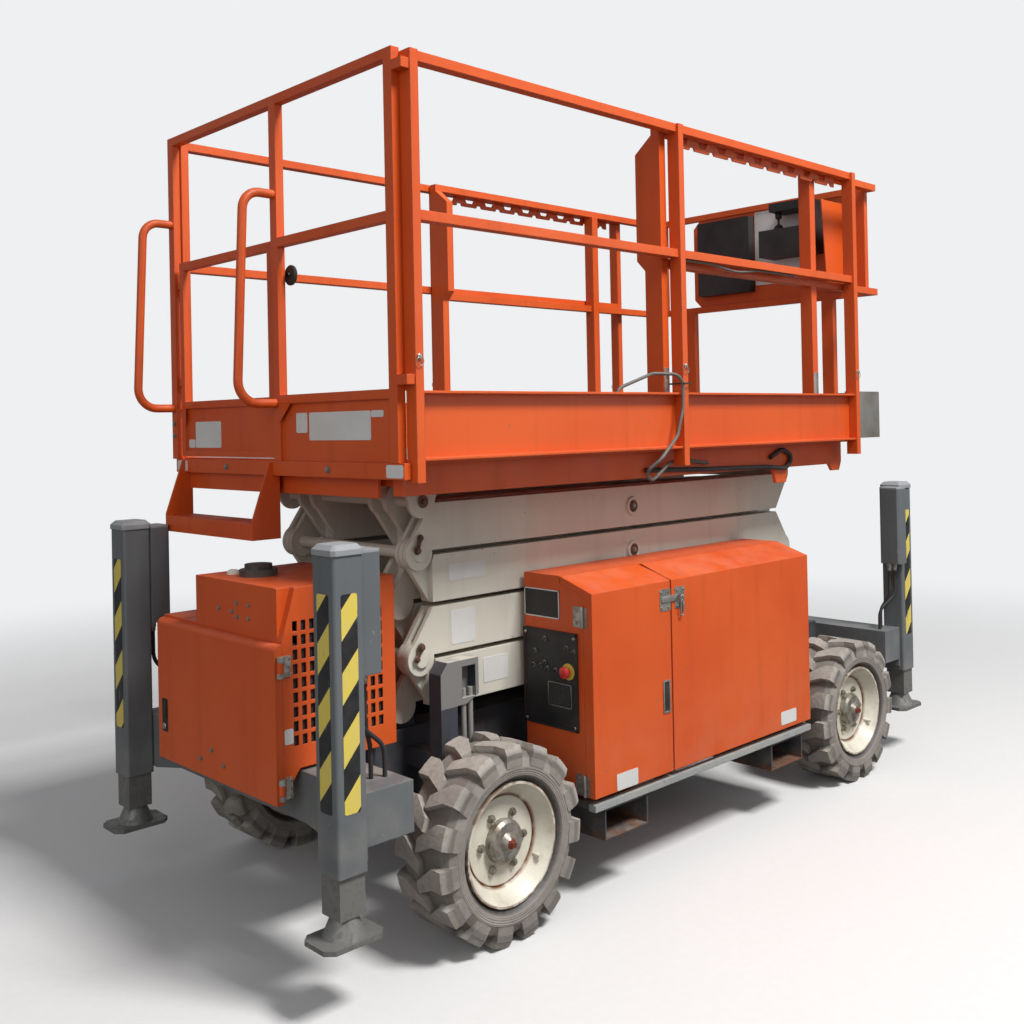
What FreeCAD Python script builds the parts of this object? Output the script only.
import FreeCAD, Part
import math
import os

# A rough-terrain scissor lift with four outriggers, lowered as it parks.
# Millimetres. +X is forward, away from the entry gate, +Y is the left side, +Z is up.
# The origin is on the ground, at the middle of the machine's length and width.

V = FreeCAD.Vector

# Clearances
TOUCH = 0.3            # gap between faces of two bodies that bear on each other
SHAFT_FIT = 0.05       # radial clearance of a shaft in its hole
RUN_GAP = 6.0          # gap beside a piece that moves

# Wheels and axles
WHEEL_BASE = 2147.4
TYRE_R = 304.0         # to the tips of the lugs
TYRE_W = 228.0
WHEEL_FACE_Y = 693.0   # outer face of a tyre
LUG_H = 24.0
LUG_COUNT = 15         # lugs on each half of the tread
LUG_HALF_Y = 104.0     # where the lug's tread face ends
RIM_R = 190.0          # rim flange
RIM_SEAT_R = 176.0
RIM_WALL = 6.0
RIM_HALF_Y = 100.0
DISC_T = 12.0
DISC_R = 142.0         # where the disc meets the cone of the rim
DISC_Y = 46.0          # disc's outer face, outward of the wheel's middle
HUB_R = 69.0
HUB_H = 32.0           # hub's height over the disc
SPINDLE_R = 26.0
NUT_PCD = 182.0
NUT_R = 13.0
NUT_COUNT = 6
VALVE = (132.0, -77.0)  # the valve's place on the cone, as (x, z)
KINGPIN_IN = 76.0      # kingpin, inward of the wheel's middle
KINGPIN_R = 14.0
BOSS_R = 36.0
BOSS_H = 96.0
AXLE_BEAM = 96.0
EAR_T = 16.0

# Chassis
RAIL_IN_Y = 160.0
RAIL_OUT_Y = 260.0
RAIL_TOP = 600.0
RAIL_BOTTOM = 352.0
RAIL_END_X = 1450.0
RAIL_WALL = 12.0
TRACK_X0 = -60.0       # roller track on the chassis and under the platform
TRACK_X1 = 1075.0
BELLY_X0 = -690.0
BELLY_X1 = 640.0

# Fork pockets, cross tubes under the belly
POCKET_W = 228.0
POCKET_H = 105.0
POCKET_WALL = 6.0
POCKET_TOP = 302.0
POCKET_HALF_Y = 680.0
POCKET_X = (-528.0, 486.0)

# Outriggers
LEG_W = 101.6
LEG_OUT_X = {-1: 1730.0, 1: 1697.0}  # by end: rear, front
LEG_OUT_Y = {-1: 680.0, 1: 640.0}
LEG_TOP = 1254.0
LEG_BOTTOM = 385.0
LEG_WALL = 8.0
LEG_CORNER = 10.0      # radius of the tube's upright edges
CAP_LIP = 4.0          # overhang of the cap
CAP_LIP_H = 16.0
CAP_BEVEL = 14.0
BEAM_H = 150.0
BEAM_TOP = 590.0
BEAM_IN_X = 1450.0
COVER_X = 72.0
COVER_Y = 96.0
COVER_IN = {-1: 12.0, 1: -22.0}      # cover's side face, inward of the leg's outer face
COVER_Z0 = {-1: 915.0, 1: 900.0}
COVER_Z1 = 1262.0
HOSE_R = 7.0
FOOT_R = 32.0
PAD_HALF_X = 100.0
PAD_HALF_Y = 69.0
PAD_T = 14.0
PAD_Z = 200.0          # underside of a raised foot pad
FOOT_TRAVEL = 380.0

# Side cabinets
CAB_X0 = -700.0
CAB_X1 = 655.0
CAB_OUT_Y = 690.0
CAB_IN_Y = 378.0
CAB_BOTTOM = 351.0
CAB_EDGE_Z = 1031.0    # top of the upright outer face
CAB_TOP = 1080.0
CAB_SLOPE_Y = 546.0    # where the sloping top meets the flat top
CAB_WALL = 3.0
DOOR_T = 40.0          # depth of a door's tray
DOOR_TOP_T = 24.0      # its sloping top
DOOR_SKIN = 12.0
DOOR_AXIS_X = 6.0      # hinge axis, past the cabinet's end
DOOR_SEAM_X = -272.0
DOOR_GAP = 5.0
SILL_Z0 = 307.0
SILL_Z1 = 330.0
SILL_T = 30.0

# Engine cabinet at the rear end
ENG_HALF_Y = 362.0
ENG_X0 = -1690.0
ENG_X1 = -1272.0
ENG_DOOR_T = 26.0
ENG_DOOR_Z0 = 505.0
ENG_DOOR_Z1 = 972.0
ENG_BOTTOM = 600.0
ENG_TOP = 1132.0
ENG_WALL = 3.0
HOOD_EDGE_X = -1643.0  # where the near side's sloping front edge meets the hood's top
HOOD_Y = (-336.0, 140.0)
ENG_HINGE_R = 10.0
ENG_HINGE_PIN_R = 5.0
ENG_HINGE_Z = (907.0, 552.0)
ENG_HINGE_H = 62.0
ENGINE = (-1600.0, -1330.0, -250.0, 100.0, 640.0, 940.0)

# Scissor stack
LEVELS = 4
PIVOT_X = -1162.0      # the hinged ends
ARM_SPAN = 2170.0      # hinged end to rolling end, lowered
LEVEL_RISE = 171.0     # height of one level, lowered
BASE_Z = 672.0         # lowest pivot
BEAM_DEPTH = 155.0
BEAM_END = 54.0        # from a pivot's line to the end of the beam's full section
EYE_R = 55.0
PIN_R = 20.0
OUTER_Y0 = 300.0
OUTER_Y1 = 360.0
INNER_Y0 = 160.0
INNER_Y1 = 260.0
CHEEK_OUTER = 18.0     # fork cheeks of the outer arms
CHEEK_INNER = 22.0
TONGUE_GAP = 2.0       # gap beside a tongue between cheeks
PIN_HEAD_R = 27.0
PIN_HEAD_T = 8.0
ROLLER_R = 30.0
ROLLER_Y0 = 266.0
ROLLER_Y1 = 294.0
CROSS_R = 30.0         # cross tubes between a pair of inner arms
CROSS_TUBES = {1: (-800.0, 560.0), 2: (560.0,), 3: (-900.0,), 4: (-800.0,)}   # by arm, clear of the cylinder
LIFT_RANGE = 53.0      # degrees
HANGER_T = 12.0
HANGER_Y = 366.0

# Lift cylinder
BARREL_R = 55.0
BARREL_WALL = 10.0
ROD_R = 32.0
BARREL_EYE = 1990.0    # from the lowest pivot along the lowest inner arm
ROD_EYE = 430.0        # from the hinged end along the third inner arm from the bottom
CYL_EYE_R = 52.0
CYL_EYE_W = 60.0
BARREL_SHORT = 240.0   # from the barrel's open end to the rod's eye, lowered
PISTON_START = 170.0   # from the barrel's eye to the piston, lowered

# Platform
HALF_W = 698.6
DECK_REAR_X = -1443.3
DECK_FRONT_X = 1110.0
DECK_TOP = 1500.0
DECK_T = 8.0
FRAME_Z0 = 1395.0
CROSS_Z0 = 1420.0      # underside of the cross members, above the arms' eyes
FRAME_Y = HALF_W - 96.6
FRAME_T = 42.0
REAR_BEAM = (-1471.3, -1403.0, 1447.0, 1495.0)    # x from, x to, z from, z to
REAR_BEAM_Y = HALF_W - 25.6
REAR_MEMBER_Z = 1386.0
REAR_MEMBER_Y = 487.0
TOE_TOP = 1703.0
TOE_Z0 = DECK_TOP
TOE_Y = HALF_W - 44.6  # web of the side channels
TOE_T = 8.0
RAIL_TOP_Z = 2683.0
MID_RAIL_Z = RAIL_TOP_Z - 458.0
TUBE = 38.0            # width of the rail tubes
RAIL_H = 30.0          # and their height
STAKE_Y = 50.0
STAKE_X = 30.0
STAKE_BOTTOM = 1437.0
STAKES_X = (-1443.0, -183.0, 1080.0)
STRIP_H = 41.0         # guide strip under the front half of the top rails
STRIP_T = 6.0
STRIP_X1 = 1000.0
STRIP_HOLES = 9
GATE_Y = 35.0          # latch side of the gate
GATE_T = 30.0
HANDLE_R = 15.0
HANDLE_OUT = (112.0, 146.0)   # reach of a grab handle at its top and at its foot
HANDLE_BEND = 75.0
CORNER_Y = HALF_W - 2.0       # outer face of the left rear corner post
NEAR_POST_Y = -(HALF_W - STAKE_Y + 1.4)

HINGE_Z = (DECK_TOP + 260.0, MID_RAIL_Z - 105.0)    # gate hinges
HINGE_X = DECK_REAR_X - 4.0      # at the gate's inner face, so that it clears the stakes when open
HINGE_Y = CORNER_Y - TUBE - 20.0
HINGE_R = 8.0
HINGE_PIN_R = 4.0

# Extension deck
EXT_T = 25.0
EXT_HALF_Y = HALF_W - 70.6
EXT_Z0 = DECK_TOP + TOUCH + 4
EXT_REAR_X = -300.0
EXT_FRONT_X = 1425.0
EXT_TRAVEL = 1100.0
EXT_OUT_Y = HALF_W - STAKE_Y - RUN_GAP    # outer face of its rails, inside the stakes
EXT_TOP_Z = RAIL_TOP_Z - 3.0
EXT_MID_Z = MID_RAIL_Z - RAIL_H
EXT_POST = (-225.0, -190.0)       # the wide rear post
EXT_POST_2 = (817.0, 858.0)
EXT_FRAME = (EXT_FRONT_X - 50.0, EXT_FRONT_X - 20.0)
EXT_SIDE_KICK_X = 1120.0
KICK_T = 6.0
KICK_H = 187.0                    # kick plates, over the extension's floor
PANEL_T = 4.0
PANEL_Y = (-575.0, 370.0)
PANEL_CORNER = 40.0

# Cables, as points that their straight runs pass through
CABLE_R = 6.0
CABLE_OUT_Y = -(HALF_W + 6.0)
CABLE = ((-480.0, -630.0, DECK_TOP + TOUCH), (-480.0, -632.0, 1715.0), (-300.0, -650.0, 1772.0),
         (-188.0, CABLE_OUT_Y, 1768.0), (-198.0, CABLE_OUT_Y, 1640.0), (-232.0, CABLE_OUT_Y, 1545.0),
         (-330.0, CABLE_OUT_Y, 1465.0), (-365.0, -655.0, 1415.0), (-300.0, -640.0, 1385.0),
         (-190.0, -640.0, 1450.0), (-70.0, -612.0, 1452.0), (80.0, -612.0, 1436.0))
PLATFORM_HOSE_R = 9.0
PLATFORM_HOSE_Y = -(FRAME_Y + PLATFORM_HOSE_R + TOUCH)     # along the side member
PLATFORM_HOSE = ((-300.0, PLATFORM_HOSE_Y, 1424.0), (60.0, PLATFORM_HOSE_Y, 1412.0),
                 (480.0, PLATFORM_HOSE_Y, 1404.0),
                 (640.0, PLATFORM_HOSE_Y, 1392.0), (690.0, PLATFORM_HOSE_Y, 1440.0),
                 (610.0, PLATFORM_HOSE_Y, 1474.0),
                 (520.0, PLATFORM_HOSE_Y, 1440.0))


def box(x0, x1, y0, y1, z0, z1):
    return Part.makeBox(x1 - x0, y1 - y0, z1 - z0, V(x0, y0, z0))


def rod_x(r, x0, x1, y, z):
    return Part.makeCylinder(r, x1 - x0, V(x0, y, z), V(1, 0, 0))


def rod_y(r, x, y0, y1, z):
    return Part.makeCylinder(r, y1 - y0, V(x, y0, z), V(0, 1, 0))


def rod_z(r, x, y, z0, z1):
    return Part.makeCylinder(r, z1 - z0, V(x, y, z0), V(0, 0, 1))


def prism_y(points, y0, y1):
    """A plate between y0 and y1 with its outline given as (x, z)."""
    wire = Part.makePolygon([V(x, y0, z) for x, z in points] + [V(points[0][0], y0, points[0][1])])
    return Part.Face(wire).extrude(V(0, y1 - y0, 0))


def prism_x(points, x0, x1):
    """A plate between x0 and x1 with its outline given as (y, z)."""
    wire = Part.makePolygon([V(x0, y, z) for y, z in points] + [V(x0, points[0][0], points[0][1])])
    return Part.Face(wire).extrude(V(x1 - x0, 0, 0))


def prism_z(points, z0, z1):
    """A plate between z0 and z1 with its outline given as (x, y)."""
    wire = Part.makePolygon([V(x, y, z0) for x, y in points] + [V(points[0][0], points[0][1], z0)])
    return Part.Face(wire).extrude(V(0, 0, z1 - z0))


def turned_y(profile, x, z):
    """A body turned about a line along Y through (x, z); profile is (y, radius)."""
    wire = Part.makePolygon([V(0, y, r) for y, r in profile] + [V(0, profile[0][0], profile[0][1])])
    solid = Part.Face(wire).revolve(V(0, 0, 0), V(0, 1, 0), 360)
    solid.translate(V(x, 0, z))
    return solid


def mirrored(shape):
    return shape.mirror(V(0, 0, 0), V(0, 1, 0))


def both_sides(shape):
    return [shape, mirrored(shape)]


def fuse(shapes):
    first = shapes[0]
    if len(shapes) == 1:
        return first
    return first.multiFuse(shapes[1:]).removeSplitter()


def cut(shape, tools):
    return shape.cut(Part.makeCompound(tools))


def hollow_tube(x0, x1, y0, y1, z0, z1, wall, along):
    """A rectangular tube open at both ends of the named axis."""
    inner = {
        "x": box(x0, x1, y0 + wall, y1 - wall, z0 + wall, z1 - wall),
        "y": box(x0 + wall, x1 - wall, y0, y1, z0 + wall, z1 - wall),
        "z": box(x0 + wall, x1 - wall, y0 + wall, y1 - wall, z0, z1),
    }[along]
    return box(x0, x1, y0, y1, z0, z1).cut(inner)


def upright_edges(shape, height):
    """The straight edges along Z that are at least that long."""
    return [e for e in shape.Edges if e.BoundBox.ZLength > height - 1 and len(e.Vertexes) == 2
            and e.BoundBox.XLength < 0.01 and e.BoundBox.YLength < 0.01]


def hexagon_y(r, x, y0, y1, z):
    """A nut along Y."""
    points = []
    for i in range(6):
        points.append((x + r * math.cos(math.pi * i / 3), z + r * math.sin(math.pi * i / 3)))
    return prism_y(points, y0, y1)


def rounded_path(points, radius):
    """Straight runs through the points, joined by arcs as large as the runs allow."""
    corners = [V(*p) for p in points]
    edges = []
    start = corners[0]
    for before, corner, after in zip(corners, corners[1:], corners[2:]):
        back = before - corner
        ahead = after - corner
        shorter = min(back.Length, ahead.Length)
        half = back.getAngle(ahead) / 2
        reach = min(radius / math.tan(half), 0.48 * shorter)
        bend = reach * math.tan(half)
        back.normalize()
        ahead.normalize()
        inward = back + ahead
        inward.normalize()
        leaves = corner + back * reach
        joins = corner + ahead * reach
        middle = corner + inward * (bend / math.sin(half) - bend)
        edges.append(Part.LineSegment(start, leaves).toShape())
        edges.append(Part.Arc(leaves, middle, joins).toShape())
        start = joins
    edges.append(Part.LineSegment(start, corners[-1]).toShape())
    return Part.Wire(edges)


def round_bar(points, radius, bend):
    """A round bar or cable along a rounded path."""
    way = V(*points[1]) - V(*points[0])
    ring = Part.Wire([Part.Circle(V(*points[0]), way, radius).toShape()])
    return rounded_path(points, bend).makePipeShell([ring], True, False)


def write(name, shapes):
    solids = []
    for shape in shapes:
        solids += shape.Solids
    body = Part.makeCompound(solids) if len(solids) > 1 else solids[0]
    body.exportStep("parts/" + name + ".step")
    print(name, len(solids))


def pivot_z(level):
    return BASE_Z + level * LEVEL_RISE


AXLE_X = {-1: -WHEEL_BASE / 2, 1: WHEEL_BASE / 2}
WHEEL_Y = WHEEL_FACE_Y - TYRE_W / 2
KINGPIN_Y = WHEEL_Y - KINGPIN_IN
ROLL_X = PIVOT_X + ARM_SPAN
ARM_LENGTH = math.hypot(ARM_SPAN, LEVEL_RISE)
REST_ANGLE = math.atan2(LEVEL_RISE, ARM_SPAN)


# Wheels

def tyre():
    """One tyre on the right side, centred on the origin; the outer side is -Y."""
    base_r = TYRE_R - LUG_H
    half = TYRE_W / 2
    seat = RIM_SEAT_R + TOUCH
    bead = RIM_HALF_Y - 14 - TOUCH
    carcass = [(-bead, seat), (-bead, RIM_R + 1), (-half + 4, RIM_R + 22), (-half, 236),
               (-half + 14, base_r - 14),
               (-half + 34, base_r), (half - 34, base_r), (half - 14, base_r - 14), (half, 236),
               (half - 4, RIM_R + 22), (bead, RIM_R + 1), (bead, seat)]
    body = turned_y(carcass, 0, 0)
    crown = turned_y([(-half, 240), (-half, base_r + 2), (-LUG_HALF_Y, TYRE_R), (LUG_HALF_Y, TYRE_R),
                      (half, base_r + 2), (half, 240)], 0, 0)
    pitch = 360.0 / LUG_COUNT
    width = 2 * math.pi * TYRE_R / LUG_COUNT * 0.52
    blocks = []
    for side, turn in ((-1, 0.0), (1, pitch / 2)):
        # lug outline in plan: (along the tread, across the tread)
        plan = [(-width * 0.95, side * -8.0), (-width * 0.35, side * -8.0),
                (width * 0.5, side * half * 0.55),
                (width * 0.5, side * half * 1.02), (-width * 0.5, side * half * 1.02),
                (-width * 0.5, side * half * 0.5)]
        block = prism_z(plan, 240, TYRE_R + 10)
        for i in range(LUG_COUNT):
            copy = block.copy()
            copy.rotate(V(0, 0, 0), V(0, 1, 0), turn + i * pitch)
            blocks.append(copy)
    lugs = crown.common(Part.makeCompound(blocks))
    return fuse([body] + lugs.Solids)


def rim():
    """One rim with its disc and hub, centred on the origin; the outer side is -Y."""
    seat = RIM_SEAT_R
    inner = seat - RIM_WALL
    well = DISC_R + RIM_WALL + 2
    outer = RIM_HALF_Y
    profile = [(-outer, RIM_R), (-outer, RIM_R - 7), (-DISC_Y, DISC_R), (outer - 60, DISC_R),
               (outer - 40, inner),
               (outer - 8, inner), (outer, RIM_R - 7), (outer, RIM_R), (outer - 14, RIM_R),
               (outer - 14, seat),
               (outer - 44, seat), (outer - 64, well), (-DISC_Y + 12, well), (-DISC_Y - 22, seat),
               (-outer + 14, seat), (-outer + 14, RIM_R)]
    barrel = turned_y(profile, 0, 0)
    disc = rod_y(DISC_R + 3, 0, -DISC_Y, -DISC_Y + DISC_T, 0)
    groove = turned_y([(-DISC_Y - 1, DISC_R - 5), (-DISC_Y + 5, DISC_R - 5), (-DISC_Y + 5, DISC_R - 1),
                       (-DISC_Y - 1, DISC_R - 1)], 0, 0)
    face = -DISC_Y - HUB_H
    hub = turned_y([(face, 0), (face, HUB_R - 9), (face + 9, HUB_R), (-DISC_Y + 1, HUB_R),
                    (-DISC_Y + 1, 0)], 0, 0)
    nose = turned_y([(face - 30, 0), (face - 30, 9), (face - 20, 10), (face - 18, 15), (face, 32),
                     (face + 1, 32),
                     (face + 1, 0)], 0, 0)
    drum = rod_y(92, 0, -DISC_Y + DISC_T, -DISC_Y + DISC_T + 20, 0)
    nuts = []
    for i in range(NUT_COUNT):
        a = 2 * math.pi * i / NUT_COUNT
        x = NUT_PCD / 2 * math.cos(a)
        z = NUT_PCD / 2 * math.sin(a)
        nuts.append(hexagon_y(NUT_R, x, -DISC_Y - 12, -DISC_Y + 1, z))
        nuts.append(rod_y(NUT_R * 0.5, x, -DISC_Y - 18, -DISC_Y - 11, z))
    valve = rod_y(6, VALVE[0], -outer + 14, -DISC_Y - 6, VALVE[1])
    body = fuse([barrel, disc, hub, nose, drum, valve] + nuts)
    bore = rod_y(SPINDLE_R + SHAFT_FIT, 0, -DISC_Y - 8, -DISC_Y + DISC_T + 40, 0)
    return cut(body, [bore, groove])


def wheels():
    shapes = {"tyre": tyre(), "rim": rim()}
    for end, end_name in ((-1, "rear"), (1, "front")):
        for side, side_name in ((-1, "right"), (1, "left")):
            for part_name, shape in shapes.items():
                piece = shape.copy() if side < 0 else mirrored(shape)
                piece.translate(V(AXLE_X[end], side * WHEEL_Y, TYRE_R))
                write(part_name + "_" + end_name + "_" + side_name, [piece])


def spindle(x, side, y_from):
    """The stub that carries a wheel, with its backing disc."""
    y_end = WHEEL_Y + DISC_Y + 8 - 1
    y_back = WHEEL_Y + DISC_Y - DISC_T - 20 - RUN_GAP
    piece = fuse([rod_y(SPINDLE_R, x, y_from, y_end, TYRE_R), rod_y(60, x, y_back - 14, y_back, TYRE_R)])
    return piece if side > 0 else mirrored(piece)


def axles():
    x = AXLE_X[-1]
    half = AXLE_BEAM / 2
    tube_y = WHEEL_Y + DISC_Y - DISC_T - 20 - RUN_GAP - 14
    pieces = [box(x - half, x + half, -RAIL_OUT_Y - 60, RAIL_OUT_Y + 60, TYRE_R - half, RAIL_BOTTOM),
              rod_y(44, x, -tube_y, tube_y, TYRE_R), rod_y(78, x, -110, 110, TYRE_R - 8)]
    pieces += [spindle(x, side, tube_y - 1) for side in (-1, 1)]
    write("axle_rear", [fuse(pieces)])

    x = AXLE_X[1]
    boss = rod_z(BOSS_R, x, KINGPIN_Y, TYRE_R - BOSS_H / 2, TYRE_R + BOSS_H / 2)
    pin = rod_z(KINGPIN_R, x, KINGPIN_Y, TYRE_R - BOSS_H / 2 - EAR_T - 6, TYRE_R + BOSS_H / 2 + EAR_T + 6)
    pieces = [box(x - half, x + half, -RAIL_OUT_Y, RAIL_OUT_Y, TYRE_R - half, RAIL_BOTTOM),
              box(x - 34, x + 34, -KINGPIN_Y, KINGPIN_Y, TYRE_R - 34, TYRE_R + 34)]
    pieces += both_sides(boss) + both_sides(pin)
    write("axle_front", [fuse(pieces)])

    # steering knuckles: two ears on the kingpin, a web outside the boss, and the spindle
    ear_z = BOSS_H / 2 + TOUCH
    web_y0 = KINGPIN_Y + BOSS_R + RUN_GAP
    web_y1 = web_y0 + 20
    for side, side_name in ((-1, "right"), (1, "left")):
        parts = []
        for z0, z1 in ((TYRE_R + ear_z, TYRE_R + ear_z + EAR_T), (TYRE_R - ear_z - EAR_T, TYRE_R - ear_z)):
            parts.append(box(x - 30, x + 30, KINGPIN_Y, web_y1, z0, z1))
            parts.append(rod_z(30, x, KINGPIN_Y, z0, z1))
        parts.append(box(x - 30, x + 30, web_y0, web_y1, TYRE_R - ear_z - EAR_T, TYRE_R + ear_z + EAR_T))
        # steering arm behind the axle
        parts.append(box(x - 110, x - 20, KINGPIN_Y - 24, KINGPIN_Y + 10,
                         TYRE_R - ear_z - EAR_T, TYRE_R - ear_z - EAR_T + 12))
        knuckle = fuse(parts).cut(rod_z(KINGPIN_R + SHAFT_FIT, x, KINGPIN_Y, 0, 2 * TYRE_R))
        if side < 0:
            knuckle = mirrored(knuckle)
        knuckle = fuse([knuckle, spindle(x, side, web_y1 - 2)])
        write("knuckle_" + side_name, [knuckle])


# Chassis

def chassis():
    rails = both_sides(box(-RAIL_END_X, RAIL_END_X, RAIL_IN_Y, RAIL_OUT_Y, RAIL_BOTTOM, RAIL_TOP))
    belly = both_sides(box(BELLY_X0, BELLY_X1, RAIL_IN_Y, RAIL_OUT_Y, POCKET_TOP, RAIL_BOTTOM))
    pieces = rails + belly
    for x0, x1 in ((-RAIL_END_X, -RAIL_END_X + 60), (-720, -660), (-40, 40), (700, 760),
                   (RAIL_END_X - 60, RAIL_END_X)):
        pieces.append(box(x0, x1, -RAIL_IN_Y, RAIL_IN_Y, RAIL_BOTTOM + 60, RAIL_TOP - 30))
    # bars that carry the side cabinets
    for x in (CAB_X0 + 8, -290, 130, CAB_X1 - 58):
        for side in (-1, 1):
            y0, y1 = sorted((side * RAIL_OUT_Y, side * (CAB_OUT_Y - SILL_T)))
            pieces.append(box(x, x + 50, y0, y1, SILL_Z0, SILL_Z1))
    for side in (-1, 1):
        y0, y1 = sorted((side * RAIL_OUT_Y, side * (CAB_IN_Y + 30)))
        for x in (CAB_X0 + 8, CAB_X1 - 58):
            pieces.append(box(x, x + 50, y0, y1, SILL_Z1, CAB_BOTTOM))
    # tongues that carry the lowest inner arms, on a saddle over the rails
    tongue_y0 = INNER_Y0 + CHEEK_INNER + TONGUE_GAP
    tongue_y1 = INNER_Y1 - CHEEK_INNER - TONGUE_GAP
    tongue = prism_y([(PIVOT_X - 70, RAIL_TOP - 5), (PIVOT_X - EYE_R + 6, BASE_Z),
                      (PIVOT_X + EYE_R - 6, BASE_Z),
                      (PIVOT_X + 70, RAIL_TOP - 5)], tongue_y0, tongue_y1)
    eye = rod_y(EYE_R - 6, PIVOT_X, tongue_y0, tongue_y1, BASE_Z)
    pieces += both_sides(tongue) + both_sides(eye)
    # roller tracks
    track_top = BASE_Z - ROLLER_R - TOUCH
    pieces += both_sides(box(TRACK_X0, TRACK_X1, ROLLER_Y0, ROLLER_Y1, RAIL_TOP - 60, track_top))
    pieces += both_sides(box(TRACK_X0, TRACK_X1, RAIL_OUT_Y - 10, ROLLER_Y1, RAIL_TOP - 60, RAIL_TOP - 10))
    frame = fuse(pieces)
    bores = both_sides(rod_y(PIN_R + SHAFT_FIT, PIVOT_X, tongue_y0 - 1, tongue_y1 + 1, BASE_Z))
    write("chassis_frame", [cut(frame, bores)])
    write("cabinet_sills", both_sides(box(CAB_X0, CAB_X1, CAB_OUT_Y - SILL_T, CAB_OUT_Y, SILL_Z0, SILL_Z1)))

    pockets = []
    for x in POCKET_X:
        pockets.append(hollow_tube(x - POCKET_W / 2, x + POCKET_W / 2, -POCKET_HALF_Y, POCKET_HALF_Y,
                                   POCKET_TOP - POCKET_H, POCKET_TOP, POCKET_WALL, "y"))
    write("fork_pockets", pockets)


def cut_rectangle(x0, x1, y0, y1, corner, z):
    """The outline of a rectangle with its corners cut off."""
    points = [(x0 + corner, y0), (x1 - corner, y0), (x1, y0 + corner), (x1, y1 - corner),
              (x1 - corner, y1), (x0 + corner, y1), (x0, y1 - corner), (x0, y0 + corner)]
    return Part.makePolygon([V(x, y, z) for x, y in points + points[:1]])


def leg_cap(x0, x1, y0, y1):
    """The lid of a leg: an upright lip and a bevelled top."""
    wide = [x0 - CAP_LIP, x1 + CAP_LIP, y0 - CAP_LIP, y1 + CAP_LIP]
    lip_z = LEG_TOP + CAP_LIP_H
    lip = Part.Face(cut_rectangle(*wide, LEG_CORNER, LEG_TOP)).extrude(V(0, 0, CAP_LIP_H))
    inset = CAP_BEVEL
    low = cut_rectangle(*wide, LEG_CORNER, lip_z)
    high = cut_rectangle(wide[0] + inset, wide[1] - inset, wide[2] + inset, wide[3] - inset,
                         LEG_CORNER * 0.6,
                         lip_z + CAP_BEVEL)
    return fuse([lip, Part.makeLoft([low, high], True, True)])


def outriggers():
    beams = []
    legs = []
    hoses = []
    for end in (-1, 1):
        out_x = LEG_OUT_X[end]
        out_y = LEG_OUT_Y[end]
        in_x = out_x - LEG_W
        in_y = out_y - LEG_W
        x0, x1 = sorted((end * BEAM_IN_X, end * in_x))
        beam = box(x0, x1, -out_y + 20, out_y - 20, BEAM_TOP - BEAM_H, BEAM_TOP)
        gussets = []
        gx0, gx1 = sorted((end * in_x, end * (in_x - 12)))
        for side in (-1, 1):
            # a gusset under the beam with its lower edge rising inwards
            gussets.append(prism_x([(side * (out_y - 20), BEAM_TOP - BEAM_H),
                                    (side * (out_y - 20), LEG_BOTTOM + 20),
                                    (side * (in_y - 20), LEG_BOTTOM + 20),
                                    (side * (in_y - 200), BEAM_TOP - BEAM_H)],
                                   gx0, gx1))
        beams.append(fuse([beam] + gussets))
        for side in (-1, 1):
            lx0, lx1 = sorted((end * out_x, end * in_x))
            ly0, ly1 = sorted((side * out_y, side * in_y))
            tube = box(lx0, lx1, ly0, ly1, LEG_BOTTOM, LEG_TOP)
            tube = tube.makeFillet(LEG_CORNER, upright_edges(tube, LEG_TOP - LEG_BOTTOM))
            tube = tube.cut(box(lx0 + LEG_WALL, lx1 - LEG_WALL, ly0 + LEG_WALL, ly1 - LEG_WALL, LEG_BOTTOM,
                                LEG_TOP))
            cx0, cx1 = sorted((end * in_x, end * (in_x - COVER_X)))
            cover_y = out_y - COVER_IN[end]
            cy0, cy1 = sorted((side * cover_y, side * (cover_y - COVER_Y)))
            cover = box(cx0, cx1, cy0, cy1, COVER_Z0[end], COVER_Z1)
            free = [e for e in upright_edges(cover, COVER_Z1 - COVER_Z0[end])
                    if abs(e.BoundBox.XMin - end * in_x) > 1]
            legs.append(fuse([tube, leg_cap(lx0, lx1, ly0, ly1), cover.makeChamfer(8, free)]))
            # two hoses from the cover down to the beam
            for i, along in enumerate((24.0, 50.0)):
                x = end * (in_x - along)
                y = side * (cover_y - COVER_Y / 2 - i * 14)
                low = (end * (BEAM_IN_X + 40 + 40 * i), y - side * 40, BEAM_TOP + TOUCH)
                hoses.append(round_bar([(x, y, COVER_Z0[end] - TOUCH), (x, y, COVER_Z0[end] - 150),
                                        (low[0], low[1], BEAM_TOP + 90), low], HOSE_R, 70))
    write("outrigger_beams", beams)
    write("outrigger_legs", legs)
    write("outrigger_hoses", hoses)

    # a foot is a rod in the leg with a dished pad below it
    for end, end_name in ((-1, "rear"), (1, "front")):
        for side, side_name in ((-1, "right"), (1, "left")):
            x = end * (LEG_OUT_X[end] - LEG_W / 2)
            y = side * (LEG_OUT_Y[end] - LEG_W / 2)
            slider = LEG_W / 2 - LEG_WALL - TOUCH
            tube = box(x - slider, x + slider, y - slider, y + slider, PAD_Z + 70,
                       LEG_BOTTOM + FOOT_TRAVEL + 120)
            neck = Part.makeCone(PAD_HALF_Y * 0.9, 36, 58, V(x, y, PAD_Z + PAD_T - 1))
            pad = box(x - PAD_HALF_X, x + PAD_HALF_X, y - PAD_HALF_Y, y + PAD_HALF_Y, PAD_Z, PAD_Z + PAD_T)
            pad = pad.makeChamfer(24, upright_edges(pad, PAD_T))
            write("foot_" + end_name + "_" + side_name, [fuse([tube, neck, pad])])


# Side cabinets

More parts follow.
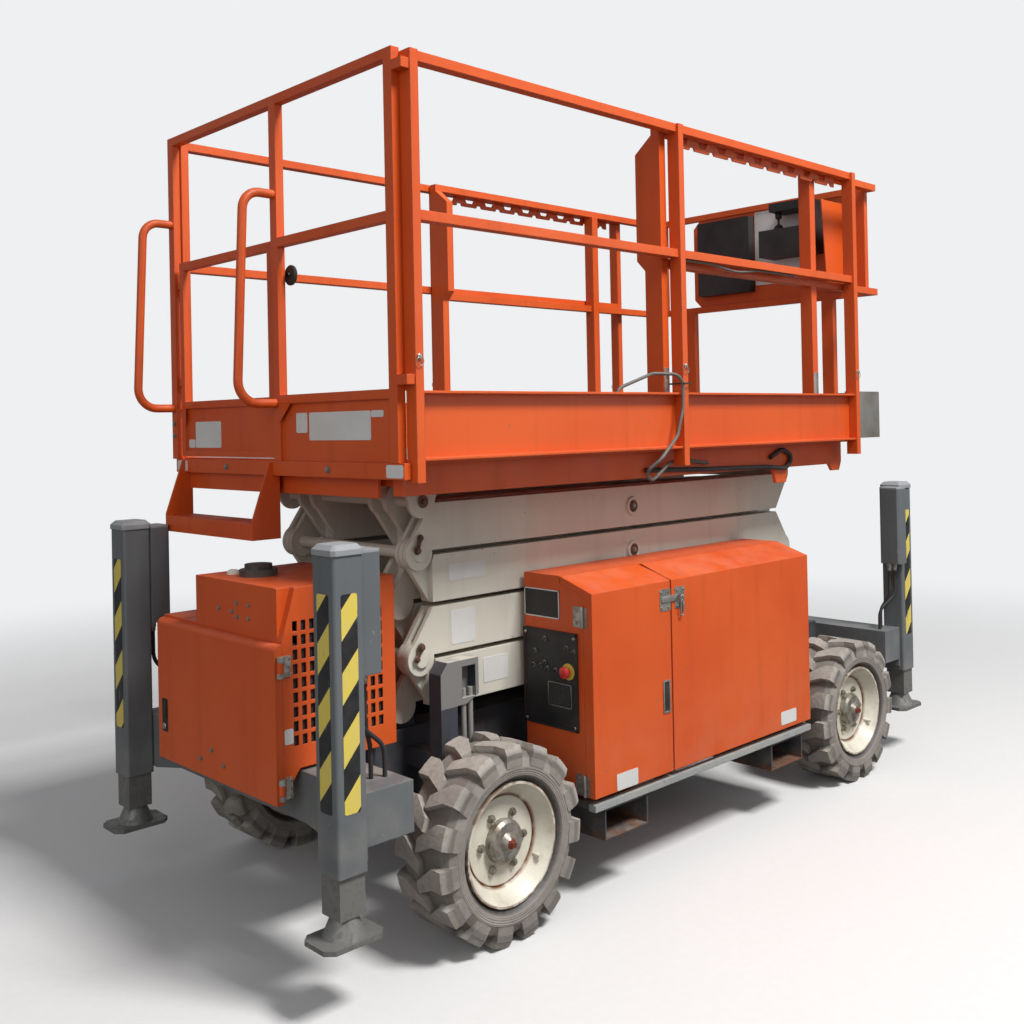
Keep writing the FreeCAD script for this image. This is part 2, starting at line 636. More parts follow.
def slope_z(y):
    """Height of the doors' sloping top at a distance from the middle."""
    return CAB_EDGE_Z + (CAB_OUT_Y - y) * (CAB_TOP - CAB_EDGE_Z) / (CAB_OUT_Y - CAB_SLOPE_Y)


def door(x0, x1, axis_x):
    """A tray with a sloping top; its free edge is rounded off about the hinge axis."""
    back = CAB_OUT_Y - DOOR_T
    lip = CAB_SLOPE_Y + 3
    body = prism_x([(CAB_OUT_Y, CAB_BOTTOM), (CAB_OUT_Y, CAB_EDGE_Z), (lip, slope_z(lip)),
                    (lip, slope_z(lip) - DOOR_TOP_T), (back, slope_z(back) - DOOR_TOP_T),
                    (back, CAB_BOTTOM)], x0, x1)
    body = body.cut(box(x0 + 14, x1 - 14, back - 1, CAB_OUT_Y - DOOR_SKIN, CAB_BOTTOM + 14,
                        slope_z(back) - DOOR_TOP_T - 14))
    reach = max(abs(x0 - axis_x), abs(x1 - axis_x))
    return body.common(rod_z(reach, axis_x, back, CAB_BOTTOM - 1, CAB_TOP + 1))


def side_cabinets():
    back = CAB_OUT_Y - DOOR_T - TOUCH
    flat = CAB_SLOPE_Y
    outline = [(CAB_IN_Y, CAB_BOTTOM), (back, CAB_BOTTOM), (back, slope_z(back) - DOOR_TOP_T - TOUCH),
               (flat, slope_z(flat) - DOOR_TOP_T - TOUCH), (flat, CAB_TOP), (CAB_IN_Y, CAB_TOP)]
    shell = prism_x(outline, CAB_X0, CAB_X1)
    room = box(CAB_X0 + CAB_WALL, CAB_X1 - CAB_WALL, CAB_IN_Y + CAB_WALL, back + 1, CAB_BOTTOM + CAB_WALL,
               1010)
    loft = box(CAB_X0 + CAB_WALL, CAB_X1 - CAB_WALL, CAB_IN_Y + CAB_WALL, flat - CAB_WALL, 1009,
               CAB_TOP - CAB_WALL)
    eave = prism_x([(flat - CAB_WALL - 1, slope_z(flat) - DOOR_TOP_T - TOUCH - CAB_WALL),
                    (back + 1, slope_z(back) - DOOR_TOP_T - TOUCH - CAB_WALL), (back + 1, 1000),
                    (flat - CAB_WALL - 1, 1000)],
                   CAB_X0 + CAB_WALL, CAB_X1 - CAB_WALL)
    shell = shell.cut(fuse([room, loft, eave]))
    shell = shell.cut(box(CAB_X0 + 60, CAB_X1 - 60, flat + 24, back + 2, 1000, CAB_TOP))
    shelf = box(CAB_X0 + CAB_WALL, CAB_X1 - CAB_WALL, CAB_IN_Y + CAB_WALL, back - 40,
                CAB_BOTTOM + CAB_WALL, CAB_BOTTOM + CAB_WALL + 180)
    shell = fuse([shell, shelf])
    doors = {"rear": door(CAB_X0, DOOR_SEAM_X - DOOR_GAP / 2, CAB_X0 - DOOR_AXIS_X),
             "front": door(DOOR_SEAM_X + DOOR_GAP / 2, CAB_X1, CAB_X1 + DOOR_AXIS_X)}
    for side, side_name in ((-1, "right"), (1, "left")):
        place = mirrored if side < 0 else (lambda s: s)
        write("cabinet_" + side_name, [place(shell)])
        for door_name, shape in doors.items():
            write("door_" + side_name + "_" + door_name, [place(shape)])
    panel = box(CAB_X0 - 6, CAB_X0, -626, -384, 563, 892)
    placard = box(CAB_X0 - 3, CAB_X0, -545, -386, 936, 1036)
    knobs = [rod_x(7, CAB_X0 - 30, CAB_X0 - 6, y, z) for y in (-420, -470, -520, -575) for z in (830, 770)]
    stop = [rod_x(24, CAB_X0 - 10, CAB_X0 - 6, -590, 742), rod_x(16, CAB_X0 - 34, CAB_X0 - 10, -590, 742)]
    write("control_panel", [fuse([panel] + knobs + stop), placard])


def engine_cabinet():
    shelf_z = ENG_DOOR_Z1 + 8
    slope_x = -(LEG_OUT_X[-1] - LEG_W) - RUN_GAP     # clear of the outriggers' beam
    low = [(ENG_X0, ENG_DOOR_Z0 + 20), (ENG_X0, shelf_z), (ENG_X1, shelf_z), (ENG_X1, ENG_BOTTOM),
           (slope_x, ENG_BOTTOM)]
    body = prism_y(low, -ENG_HALF_Y, ENG_HALF_Y)
    hood = box(ENG_X0, ENG_X1, HOOD_Y[0], HOOD_Y[1], shelf_z - 1, ENG_TOP)
    side = prism_y([(ENG_X0, shelf_z - 1), (HOOD_EDGE_X, ENG_TOP), (ENG_X1, ENG_TOP),
                    (ENG_X1, shelf_z - 1)],
                   -ENG_HALF_Y, HOOD_Y[0] + 1)
    room = box(ENG_X0 + ENG_WALL, ENG_X1 - ENG_WALL, -ENG_HALF_Y + ENG_WALL, ENG_HALF_Y - ENG_WALL,
               ENG_BOTTOM + ENG_WALL, shelf_z - ENG_WALL)
    loft = box(ENG_X0 + ENG_WALL, ENG_X1 - ENG_WALL, HOOD_Y[0] + ENG_WALL, HOOD_Y[1] - ENG_WALL,
               shelf_z - ENG_WALL - 1, ENG_TOP - ENG_WALL)
    attic = box(HOOD_EDGE_X + ENG_WALL, ENG_X1 - ENG_WALL, -ENG_HALF_Y + ENG_WALL, HOOD_Y[0] + ENG_WALL + 1,
                shelf_z - ENG_WALL - 1, ENG_TOP - ENG_WALL)
    doorway = box(ENG_X0 - 1, ENG_X0 + ENG_WALL + 1, -ENG_HALF_Y + 24, ENG_HALF_Y - 24,
                  ENG_BOTTOM + ENG_WALL, shelf_z - 24)
    # slots of the grille on both sides: three columns, nine rows
    slots = []
    for x0 in (ENG_X0 + 36, ENG_X1 - 128):
        for column in range(3):
            for row in range(9):
                x = x0 + column * 30
                z = 668 + row * 42
                top = ENG_HALF_Y + 1 if z + 30 < shelf_z - ENG_WALL else 0
                slots.append(box(x, x + 17, -ENG_HALF_Y - 1, top, z, z + 30))
    cabinet = cut(fuse([body, hood, side]), [fuse([room, loft, attic]), doorway] + slots)
    filler = [rod_z(60, -1566, -40, ENG_TOP - 1, ENG_TOP + 22),
              rod_z(44, -1566, -40, ENG_TOP + 21, ENG_TOP + 38)]
    # hinges at the near edge of the door: leaf, end knuckles and pin
    hinge_x = ENG_X0 - TOUCH - ENG_DOOR_T / 2
    hinge_y = -ENG_HALF_Y - ENG_HINGE_R
    half = ENG_HINGE_H / 2
    third = ENG_HINGE_H / 4
    hinges = []
    for z in ENG_HINGE_Z:
        hinges.append(rod_z(ENG_HINGE_PIN_R, hinge_x, hinge_y, z - half, z + half))
        hinges.append(box(ENG_X0 + 2, ENG_X0 + 26, -ENG_HALF_Y - 5, -ENG_HALF_Y + 1, z - half, z + half))
        for z0, z1 in ((z - half, z - third), (z + third, z + half)):
            hinges.append(rod_z(ENG_HINGE_R, hinge_x, hinge_y, z0, z1))
            hinges.append(box(hinge_x, ENG_X0 + 3, -ENG_HALF_Y - 5, -ENG_HALF_Y - TOUCH, z0, z1))
    write("engine_cabinet", [fuse([cabinet] + filler + hinges)])

    x0, x1, y0, y1, z0, z1 = ENGINE
    write("engine_block", [box(x0, x1, y0, y1, ENG_BOTTOM + ENG_WALL, z1)])

    door_x1 = ENG_X0 - TOUCH
    door = box(door_x1 - ENG_DOOR_T, door_x1, -ENG_HALF_Y, ENG_HALF_Y, ENG_DOOR_Z0, ENG_DOOR_Z1)
    lip = [e for e in door.Edges if e.BoundBox.ZMin > ENG_DOOR_Z1 - 1 and e.BoundBox.XMax < door_x1 - 1]
    door = door.makeFillet(ENG_DOOR_T * 0.8, lip)
    middle = third - TOUCH
    for z in ENG_HINGE_Z:
        door = fuse([door, rod_z(ENG_HINGE_R, hinge_x, hinge_y, z - middle, z + middle),
                     box(hinge_x - 5, hinge_x + 5, hinge_y, -ENG_HALF_Y + 1, z - middle, z + middle)])
    bores = [rod_z(ENG_HINGE_PIN_R + SHAFT_FIT, hinge_x, hinge_y, z - half, z + half) for z in ENG_HINGE_Z]
    write("engine_door", [cut(door, bores)])


def hose_tower():
    x0, x1, y0, y1 = -1150.0, -985.0, -440.0, -382.0
    post = box(x0, x0 + 70, y0, y1, RAIL_TOP - 120, 790)
    head = prism_y([(x0, 690), (x0, 800), (x0 + 30, 836), (x1, 836), (x1, 716), (x0 + 110, 690)], y0, y1)
    window = box(x0 + 92, x1 - 14, y0 - 1, y1 - 20, 712, 814)
    arm = box(x0, x0 + 70, y1 - 8, -RAIL_OUT_Y, RAIL_TOP - 120, RAIL_TOP - 60)
    fittings = [rod_z(9, x0 + 108 + 30 * i, y0 + 14, 560, 740) for i in range(2)]
    write("hose_tower", [fuse([post, head, arm]).cut(window)] + fittings)


# Scissor arms


def neck(pivot_x, pivot_zz, beam_x, z0, z1, toward):
    """The tapered plate from an eye to the end of its beam; toward is +1 at the hinged end."""
    below = pivot_zz < (z0 + z1) / 2
    far_x = beam_x + toward * 20
    if below:
        points = [(pivot_x - toward * EYE_R * 0.98, pivot_zz + EYE_R * 0.2), (beam_x, z1), (far_x, z1),
                  (far_x, z0), (pivot_x + toward * (EYE_R - 2), z0), (pivot_x, pivot_zz)]
    else:
        points = [(pivot_x - toward * EYE_R * 0.98, pivot_zz - EYE_R * 0.2), (beam_x, z0), (far_x, z0),
                  (far_x, z1), (pivot_x + toward * (EYE_R - 2), z1), (pivot_x, pivot_zz)]
    return points


def fork_layers(y0, y1, cheek):
    return ((y0, y0 + cheek), (y1 - cheek, y1))


def tongue_layers(y0, y1, cheek):
    return ((y0 + cheek + TONGUE_GAP, y1 - cheek - TONGUE_GAP),)


def arm(y0, y1, cheek, mid_z, ends):
    """One arm on the left side. ends: (x, z, kind, toward) for both eyes; kind is fork, tongue or full."""
    half = BEAM_DEPTH / 2
    xs = [PIVOT_X + BEAM_END, ROLL_X - BEAM_END]
    pieces = [box(xs[0], xs[1], y0, y1, mid_z - half, mid_z + half)]
    for (x, z, kind, toward), beam_x in zip(ends, xs):
        layer_kinds = {"fork": fork_layers, "tongue": tongue_layers}
        layers = layer_kinds[kind](y0, y1, cheek) if kind in layer_kinds else ((y0, y1),)
        for a, b in layers:
            pieces.append(prism_y(neck(x, z, beam_x, mid_z - half, mid_z + half, toward), a, b))
            pieces.append(rod_y(EYE_R, x, a, b, z))
    body = fuse(pieces)
    # a round relief keeps the full section off the other arm's eye
    for (x, z, kind, toward), beam_x in zip(ends, xs):
        if kind == "fork":
            relief = rod_y(EYE_R + RUN_GAP, x, y0 + cheek, y1 - cheek, z)
            body = body.cut(relief)
        if kind == "tongue":
            for a, b in fork_layers(y0, y1, cheek + TONGUE_GAP):
                body = body.cut(rod_y(EYE_R + RUN_GAP, x, a, b, z))
    return body


def bored(body, places, y0, y1):
    return cut(body, [rod_y(PIN_R + SHAFT_FIT, x, y0 - 1, y1 + 1, z) for x, z in places])


def scissor_arms():
    mid_x = PIVOT_X + ARM_SPAN / 2
    for k in range(1, LEVELS + 1):
        # arm 1 is the highest; its level lies between pivots low and low + 1
        low = LEVELS - k
        mid_z = pivot_z(low) + LEVEL_RISE / 2
        rising = low % 2 == 0   # the inner arm of this level rises towards the rolling end
        in_left = pivot_z(low) if rising else pivot_z(low + 1)
        in_right = pivot_z(low + 1) if rising else pivot_z(low)
        out_left = pivot_z(low + 1) if rising else pivot_z(low)
        out_right = pivot_z(low) if rising else pivot_z(low + 1)

        left_kind = "fork" if in_left < mid_z else "tongue"
        if k == 1:
            left_kind = "fork"
        right_kind = "fork" if in_right < mid_z else "tongue"
        inner = arm(INNER_Y0, INNER_Y1, CHEEK_INNER, mid_z,
                    ((PIVOT_X, in_left, left_kind, 1), (ROLL_X, in_right, right_kind, -1)))
        left_kind_o = "fork" if out_left < mid_z else "tongue"
        right_kind_o = "fork" if out_right < mid_z else "tongue"
        if k in (1, LEVELS):
            right_kind_o = "full"
        outer = arm(OUTER_Y0, OUTER_Y1, CHEEK_OUTER, mid_z,
                    ((PIVOT_X, out_left, left_kind_o, 1), (ROLL_X, out_right, right_kind_o, -1)))

        bores = [(mid_x, mid_z)]
        if left_kind == "tongue" or k == 1:
            bores.append((PIVOT_X, in_left))
        if right_kind == "tongue":
            bores.append((ROLL_X, in_right))
        inner = bored(inner, bores, INNER_Y0, INNER_Y1)
        bores = []
        if left_kind_o == "tongue":
            bores.append((PIVOT_X, out_left))
        if right_kind_o == "tongue":
            bores.append((ROLL_X, out_right))
        if bores:
            outer = bored(outer, bores, OUTER_Y0, OUTER_Y1)

        # shafts belong to the body whose end is a fork
        inner_parts = both_sides(inner)
        outer_parts = both_sides(outer)
        if left_kind == "fork" and k != 1:
            inner_parts.append(rod_y(PIN_R, PIVOT_X, -INNER_Y1, INNER_Y1, in_left))
        if right_kind == "fork":
            inner_parts.append(rod_y(PIN_R, ROLL_X, -INNER_Y1, INNER_Y1, in_right))
        for x in CROSS_TUBES[k]:
            inner_parts.append(rod_y(CROSS_R, x, -INNER_Y0, INNER_Y0, mid_z))
        write_inner(k, inner_parts, mid_x, mid_z, left_kind, right_kind, in_left, in_right)

        if left_kind_o == "fork":
            outer_parts.append(rod_y(PIN_R, PIVOT_X, -OUTER_Y1, OUTER_Y1, out_left))
        if right_kind_o in ("fork", "full"):
            outer_parts.append(rod_y(PIN_R, ROLL_X, -OUTER_Y1, OUTER_Y1, out_right))
        if right_kind_o == "full":
            outer_parts += both_sides(rod_y(ROLLER_R, ROLL_X, ROLLER_Y0, ROLLER_Y1, out_right))
        # middle pins run from the outer arm through the inner arm, with a collar between
        outer_parts += both_sides(rod_y(PIN_R, mid_x, INNER_Y0, OUTER_Y0 + 1, mid_z))
        outer_parts += both_sides(rod_y(PIN_R + 14, mid_x, INNER_Y1 + 2, OUTER_Y0, mid_z))
        heads = []
        if left_kind_o == "fork":
            heads.append((PIVOT_X, out_left))
        if right_kind_o != "tongue":
            heads.append((ROLL_X, out_right))
        heads.append((mid_x, mid_z))
        for x, z in heads:
            outer_parts += both_sides(rod_y(PIN_HEAD_R, x, OUTER_Y1 - 1, OUTER_Y1 + PIN_HEAD_T, z))
        write("outer_arms_" + str(k), [fuse(outer_parts)])


def write_inner(k, parts, mid_x, mid_z, left_kind, right_kind, in_left, in_right):
    """Adds the cylinder's seats to the inner arms that carry it."""
    if k == LEVELS:
        x = PIVOT_X + BARREL_EYE * math.cos(REST_ANGLE)
        z = BASE_Z + BARREL_EYE * math.sin(REST_ANGLE)
        parts.append(rod_y(CROSS_R, x, -INNER_Y0, INNER_Y0, z))
    if k == 2:
        x = PIVOT_X + ROD_EYE * math.cos(REST_ANGLE)
        z = pivot_z(2) + ROD_EYE * math.sin(REST_ANGLE)
        gap = CYL_EYE_W / 2 + RUN_GAP
        parts += both_sides(rod_y(CROSS_R, x, gap + 20, INNER_Y0, z))
        lug = prism_y([(x - 60, z - 60), (x - 60, z + 50), (x + 60, z + 50), (x + 60, z - 60)], gap,
                      gap + 20)
        parts += both_sides(lug)
    write("inner_arms_" + str(k), [fuse(parts)])


def lift_cylinder():
    ax = PIVOT_X + BARREL_EYE * math.cos(REST_ANGLE)
    az = BASE_Z + BARREL_EYE * math.sin(REST_ANGLE)
    bx = PIVOT_X + ROD_EYE * math.cos(REST_ANGLE)
    bz = pivot_z(2) + ROD_EYE * math.sin(REST_ANGLE)
    length = math.hypot(bx - ax, bz - az)
    way = V((bx - ax) / length, 0, (bz - az) / length)
    start = V(ax, 0, az)
    half = CYL_EYE_W / 2
    eye = rod_y(CYL_EYE_R, ax, -half, half, az)
    barrel_length = length - BARREL_SHORT
    tube = Part.makeCylinder(BARREL_R, barrel_length - CYL_EYE_R, start + way * CYL_EYE_R, way)
    hole = Part.makeCylinder(BARREL_R - BARREL_WALL, barrel_length, start + way * (CYL_EYE_R + 40), way)
    neck_piece = Part.makeCylinder(BARREL_R - 12, CYL_EYE_R + 20, start, way)
    gland = Part.makeCylinder(BARREL_R + 6, 50, start + way * (barrel_length - 30), way)
    gland = gland.cut(Part.makeCylinder(ROD_R + SHAFT_FIT, 60, start + way * (barrel_length - 35), way))
    barrel = fuse([eye, neck_piece, tube]).cut(hole)
    barrel = fuse([barrel, gland]).cut(rod_y(CROSS_R + SHAFT_FIT, ax, -BARREL_R, BARREL_R, az))
    write("lift_cylinder_barrel", [barrel])

    rod_length = length - PISTON_START - CYL_EYE_R * 0.5
    rod_piece = Part.makeCylinder(ROD_R, rod_length, start + way * PISTON_START, way)
    piston = Part.makeCylinder(BARREL_R - BARREL_WALL - SHAFT_FIT, 50, start + way * PISTON_START, way)
    rod_eye = rod_y(CYL_EYE_R - 4, bx, -half, half, bz)
    pin = rod_y(PIN_R, bx, -half - 3, half + 3, bz)
    write("lift_cylinder_rod", [fuse([rod_piece, piston, rod_eye, pin])])


# Platform

def platform_deck():
    x0 = DECK_REAR_X
    x1 = DECK_FRONT_X
    web_out = TOE_Y + TOE_T
    pieces = [box(x0, x1, -web_out, web_out, DECK_TOP - DECK_T, DECK_TOP)]
    # side channels, open outwards, notched round the stakes
    flanges = [box(x0, x1, TOE_Y, HALF_W - 6, z, z + TOE_T) for z in (TOE_Z0, TOE_TOP - TOE_T)]
    notches = []
    for x in STAKES_X:
        notches.append(box(x - TOUCH, x + STAKE_X + TOUCH, web_out, HALF_W, TOE_Z0 - 1, TOE_TOP + 1))
    web = box(x0, x1, TOE_Y, web_out, TOE_Z0, TOE_TOP)
    channel = fuse([cut(flange, notches) for flange in flanges] + [web])
    pieces += both_sides(channel)
    # frame under the floor: side members and cross members
    pieces += both_sides(box(x0 + 20, x1 - 40, FRAME_Y - FRAME_T, FRAME_Y, FRAME_Z0, DECK_TOP - DECK_T))
    for x in (x0 + 60, PIVOT_X - 25, -600, -77, 450, x1 - 90):
        pieces.append(box(x, x + 50, -FRAME_Y + FRAME_T, FRAME_Y - FRAME_T, CROSS_Z0, DECK_TOP - DECK_T))
    # the beam across the rear end, clear of the rear stakes, and the member below it
    bx0, bx1, bz0, bz1 = REAR_BEAM
    beam = box(bx0, bx1, -REAR_BEAM_Y, REAR_BEAM_Y, bz0, bz1)
    past = HALF_W - STAKE_Y - TOUCH
    beam = cut(beam, both_sides(box(x0 - TOUCH, bx1 + 1, past, HALF_W, bz0 - 1, bz1 + 1)))
    pieces.append(beam)
    pieces.append(box(x0 + 20, x0 + 32, -REAR_MEMBER_Y, REAR_MEMBER_Y, REAR_MEMBER_Z, bz0 + 3))
    # bars for the rollers of the highest outer arms
    track = pivot_z(LEVELS) + ROLLER_R + TOUCH
    pieces += both_sides(box(TRACK_X0, TRACK_X1 - 20, ROLLER_Y0, ROLLER_Y1, track, CROSS_Z0 + 20))
    # brackets under the side members
    near = FRAME_Y - 12
    pieces += both_sides(prism_y([(552, FRAME_Z0 + 4), (664, FRAME_Z0 + 4), (650, FRAME_Z0 - 62),
                                  (572, FRAME_Z0 - 62)], near, FRAME_Y))
    pieces += both_sides(prism_y([(x1 - 110, FRAME_Z0 + 4), (x1 - 40, TOE_Z0), (x1, TOE_Z0),
                                  (x1, FRAME_Z0 + 10),
                                  (x1 - 20, FRAME_Z0 - 30), (x1 - 80, FRAME_Z0 - 30)], near, FRAME_Y))
    write("platform_deck", [fuse(pieces)])


def platform_hangers():
    """The plates under the deck that hold the highest pivot's shaft."""
    z = pivot_z(LEVELS)
    plate = prism_y([(PIVOT_X - EYE_R, z), (PIVOT_X - EYE_R - 25, CROSS_Z0),
                     (PIVOT_X + EYE_R + 25, CROSS_Z0),
                     (PIVOT_X + EYE_R, z)], HANGER_Y, HANGER_Y + HANGER_T)
    eye = rod_y(EYE_R, PIVOT_X, HANGER_Y, HANGER_Y + HANGER_T, z)
    tongue_y0 = INNER_Y0 + CHEEK_INNER + TONGUE_GAP
    tongue_y1 = INNER_Y1 - CHEEK_INNER - TONGUE_GAP
    middle = prism_y([(PIVOT_X - 30, z), (PIVOT_X - 30, CROSS_Z0), (PIVOT_X + 30, CROSS_Z0),
                      (PIVOT_X + 30, z)],
                     tongue_y0, tongue_y1)
    end = HANGER_Y + HANGER_T + 6
    shaft = rod_y(PIN_R, PIVOT_X, -end, end, z)
    pieces = both_sides(plate) + both_sides(eye) + both_sides(middle) + [shaft]
    write("platform_hangers", [fuse(pieces)])


def platform_cables():
    """The grey cable over the side channel and the black hose along the side member."""
    write("platform_cable", [round_bar(CABLE, CABLE_R, 45)])
    write("platform_hose", [round_bar(PLATFORM_HOSE, PLATFORM_HOSE_R, 60)])


def side_guardrail(side):
    y0 = HALF_W - STAKE_Y
    pieces = []
    for x in STAKES_X:
        pieces.append(box(x, x + STAKE_X, y0, HALF_W, STAKE_BOTTOM, RAIL_TOP_Z))
    xa = STAKES_X[0]
    xb = STAKES_X[2] + STAKE_X
    rail_y = y0 + 2
    for z in (RAIL_TOP_Z, MID_RAIL_Z):
        pieces.append(box(xa, xb, rail_y, rail_y + TUBE, z - RAIL_H, z))
    # the guide strip of the extension, below the top rail: holes along the rail, a notched lower edge
    high = RAIL_TOP_Z - RAIL_H
    low = high - STRIP_H
    strip = box(STAKES_X[1], STRIP_X1, rail_y, rail_y + STRIP_T, low, high)
    pitch = (STRIP_X1 - STAKES_X[1] - 60) / STRIP_HOLES
    holes = []
    for i in range(STRIP_HOLES):
        x = STAKES_X[1] + 50 + pitch * i
        holes.append(prism_y([(x, high + 1), (x + 66, high + 1), (x + 52, high - 24), (x + 14, high - 24)],
                             rail_y - 1, rail_y + STRIP_T + 1))
        holes.append(prism_y([(x + 74, low - 1), (x + 110, low - 1), (x + 102, low + 12),
                              (x + 82, low + 12)],
                             rail_y - 1, rail_y + STRIP_T + 1))
    pieces.append(cut(strip, holes))
    # beside the deck the stakes stand in the side channel, against its web
    beside = box(DECK_REAR_X - 1, DECK_FRONT_X + 1, 0, TOE_Y + TOE_T + TOUCH, DECK_TOP - DECK_T - TOUCH,
                 TOE_TOP + TOUCH)
    body = fuse(pieces).cut(beside)
    return body if side > 0 else mirrored(body)


def rear_guardrail():
    """The fixed half beside the gate, the corner posts and the grab handles."""
    x0 = DECK_REAR_X - 30
    x1 = DECK_REAR_X
    near = NEAR_POST_Y
    far = CORNER_Y
    foot = REAR_BEAM[3] + TOUCH
    top = RAIL_TOP_Z + 11
    pieces = [box(x0, x1, y, y + TUBE, foot, top) for y in (near, -TUBE, far - TUBE)]
    pieces.append(box(x0, x1, near, far, top - RAIL_H, top))
    pieces.append(box(x0, x1, near, 0, MID_RAIL_Z - RAIL_H, MID_RAIL_Z))
    pieces.append(box(x0, x1, near, 0, TOE_TOP - 21, TOE_TOP + 7))
    pieces.append(box(x0 + 12, x0 + 16, near + 10, -10, foot, TOE_TOP))
    for y in (-TUBE / 2, far - TUBE / 2):
        pieces.append(grab_handle(x0, y))
    for z in HINGE_Z:
        pieces.append(rod_z(HINGE_PIN_R, HINGE_X, HINGE_Y, z - 10, z + 40))
        pieces.append(box(HINGE_X - 9, x1, HINGE_Y - 5, far - TUBE + 1, z - 16, z - TOUCH))
    # collars that tie the near corner to the side rails
    for z in (RAIL_TOP_Z - 30, TOE_TOP + 47):
        pieces.append(box(x0, x1, -HALF_W + 4, near + 4, z - 30, z))
    return fuse(pieces)


def grab_handle(x, y):
    """A round bar bowed out behind a post, further out at its foot."""
    high = MID_RAIL_Z + 145
    low = DECK_TOP + 184
    points = [(x + 12, y, high), (x - HANDLE_OUT[0], y, high), (x - HANDLE_OUT[1], y, low),
              (x + 12, y, low)]
    return round_bar(points, HANDLE_R, HANDLE_BEND)


def entry_gate():
    """The gate swings inwards about its far post."""
    x0 = DECK_REAR_X - 26
    x1 = x0 + 22
    y0 = GATE_Y - 30
    y1 = HINGE_Y - HINGE_R - 1.5
    z0 = DECK_TOP + RUN_GAP
    top = MID_RAIL_Z - 5
    pieces = [box(x0, x1, y0, y0 + 26, z0, top), box(x0, x1, y1 - 26, y1, z0, top),
              box(x0, x1, y0, y1, top - GATE_T, top), box(x0, x1, y0, y1, TOE_TOP - 23, TOE_TOP + 3),
              box(x0 + 8, x0 + 12, y0 + 20, y1 - 20, z0, TOE_TOP - 13), box(x0, x1, y0, y1, z0, z0 + 20)]
    # two hinge barrels on pins that stand on the far corner post
    for z in HINGE_Z:
        pieces.append(rod_z(HINGE_R, HINGE_X, HINGE_Y, z, z + 40))
        pieces.append(box(x0 + 1, HINGE_X - 1, y1 - 4, HINGE_Y + HINGE_R - 2, z + 6, z + 34))
    bores = [rod_z(HINGE_PIN_R + SHAFT_FIT, HINGE_X, HINGE_Y, z - 1, z + 41) for z in HINGE_Z]
    write("entry_gate", [cut(fuse(pieces), bores)])


def ladder_step():
    """A hanging step: two slanted side plates hooked on the rear beam, a cross plate and the tread."""
    beam_x = REAR_BEAM[0] - TOUCH
    back = DECK_REAR_X - TOUCH
    front = back - 108
    hook = REAR_BEAM[2] - TOUCH
    top = REAR_BEAM[3] - 5
    low = 1237.0
    tread = low + 56
    outline = [(beam_x, hook), (beam_x, top), (beam_x - 12, top), (front, tread + 7), (front, low),
               (back, low),
               (back, hook)]
    pieces = [prism_y(outline, y, y + 6) for y in (16.0, 604.0)]
    pieces.append(box(front, back, 16, 610, tread - 6, tread))
    for x in (front, back - 6):
        pieces.append(box(x, x + 6, 16, 610, low, tread))
    pieces.append(box(back - 6, back, 16, 610, REAR_MEMBER_Z + 2, hook))
    write("ladder_step", [fuse(pieces)])


def extension_deck():
    z0 = EXT_Z0
    deck = z0 + EXT_T
    kick = deck + KICK_H
    x1 = EXT_FRONT_X
    pieces = [box(EXT_REAR_X, x1, -EXT_HALF_Y, EXT_HALF_Y, z0, deck)]
    for x in (EXT_REAR_X, 300, DECK_FRONT_X - 60):
        pieces += both_sides(box(x, x + 60, 500, 560, DECK_TOP + TOUCH, z0))
    pieces.append(box(x1 - KICK_T, x1, -EXT_HALF_Y, EXT_HALF_Y, z0, kick))
    pieces += both_sides(box(EXT_SIDE_KICK_X, x1, EXT_HALF_Y - KICK_T, EXT_HALF_Y, z0, kick))
    write("extension_deck", [fuse(pieces)])


def extension_rails():
    """The posts and side rails of the extension; the rear post widens inwards at its top."""
    out = EXT_OUT_Y
    deck = EXT_Z0 + EXT_T
    under = EXT_TOP_Z - RAIL_H
    mid = EXT_MID_Z
    x0, x1 = EXT_POST
    post = prism_x([(out, deck), (out, under), (out - TUBE, under), (out - 112, under - 60),
                    (out - 112, mid),
                    (out - 75, mid - 40), (out - 75, deck)], x0, x1)
    second = box(EXT_POST_2[0], EXT_POST_2[1], out - 54, out, deck, under)
    rails = [box(x0, EXT_FRAME[0], out - TUBE, out, under, EXT_TOP_Z),
             box(x0, EXT_FRAME[0], out - TUBE, out, mid - RAIL_H, mid)]
    body = fuse([post, second] + rails)
    write("extension_rails_left", [body])
    write("extension_rails_right", [mirrored(body)])


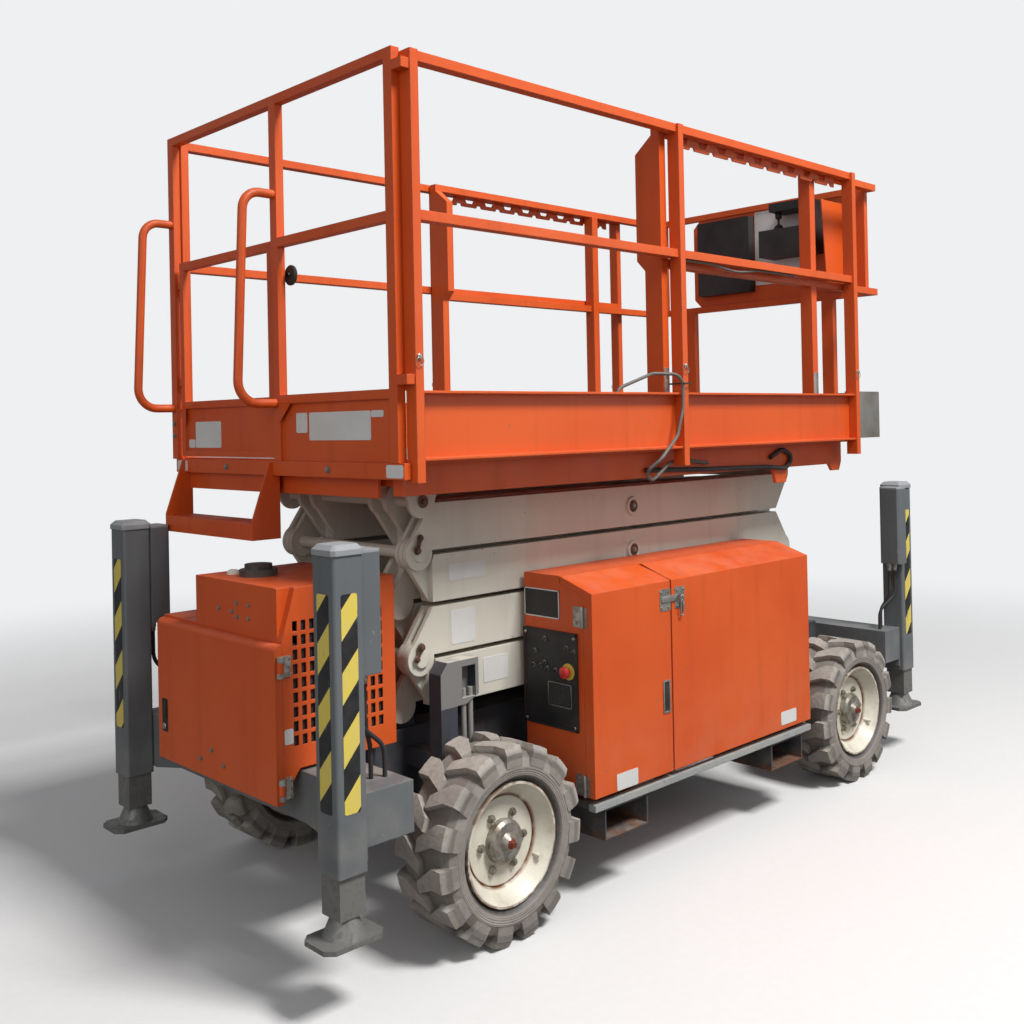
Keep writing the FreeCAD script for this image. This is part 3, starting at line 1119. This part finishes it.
def extension_front():
    """The frame across the extension's front end, its posts, the panel and the shield beside the controls."""
    x0, x1 = EXT_FRAME
    under = EXT_TOP_Z - RAIL_H
    mid = EXT_MID_Z
    deck = EXT_Z0 + EXT_T
    pieces = [box(x0, x1, -EXT_OUT_Y, EXT_OUT_Y, under, EXT_TOP_Z),
              box(x0, x1, -EXT_OUT_Y, EXT_OUT_Y, mid - RAIL_H, mid)]
    pieces += both_sides(box(x0, x1, 553, 600, mid - 1, under + 1))
    # the posts are flared forward at their feet
    foot = EXT_FRONT_X - KICK_T - 2
    pieces += both_sides(prism_y([(x0, deck), (foot, deck), (x1 + 4, deck + 70), (x1 + 4, mid - 1),
                                  (x0, mid - 1)], 370, 430))
    ya, yb = PANEL_Y
    panel_x = x0 + 8
    corner = PANEL_CORNER
    pieces.append(prism_x([(ya, mid - 1), (yb - corner, mid - 1), (yb, mid + corner), (yb, under - corner),
                           (yb - corner, under + 1), (ya, under + 1)], panel_x, panel_x + PANEL_T))
    shield = [(x0 - 195, under - 40), (panel_x + 1, under - 40), (panel_x + 1, mid + 5),
              (x0 - 155, mid + 5)]
    pieces.append(prism_y(shield, -492, -492 + PANEL_T))
    write("extension_front", [fuse(pieces)])

    # the operator's controls under a hood, and the box for the handbook
    back = panel_x - TOUCH
    manual = box(back - 52, back, 0, 310, mid + 50, under - 25)
    control = box(back - 132, back, -385, -110, mid + 195, mid + 325)
    hood = box(back - 132, back, -385, -170, under - 45, under - 5)
    side = box(back - 132, back, -385, -372, mid + 324, under - 44)
    write("platform_controls", [manual, fuse([control, hood, side])])


def main():
    os.makedirs("parts", exist_ok=True)
    wheels()
    axles()
    chassis()
    outriggers()
    side_cabinets()
    engine_cabinet()
    hose_tower()
    scissor_arms()
    lift_cylinder()
    platform_deck()
    platform_hangers()
    platform_cables()
    write("guardrail_right", [side_guardrail(-1)])
    write("guardrail_left", [side_guardrail(1)])
    write("guardrail_rear", [rear_guardrail()])
    entry_gate()
    ladder_step()
    extension_deck()
    extension_rails()
    extension_front()


main()
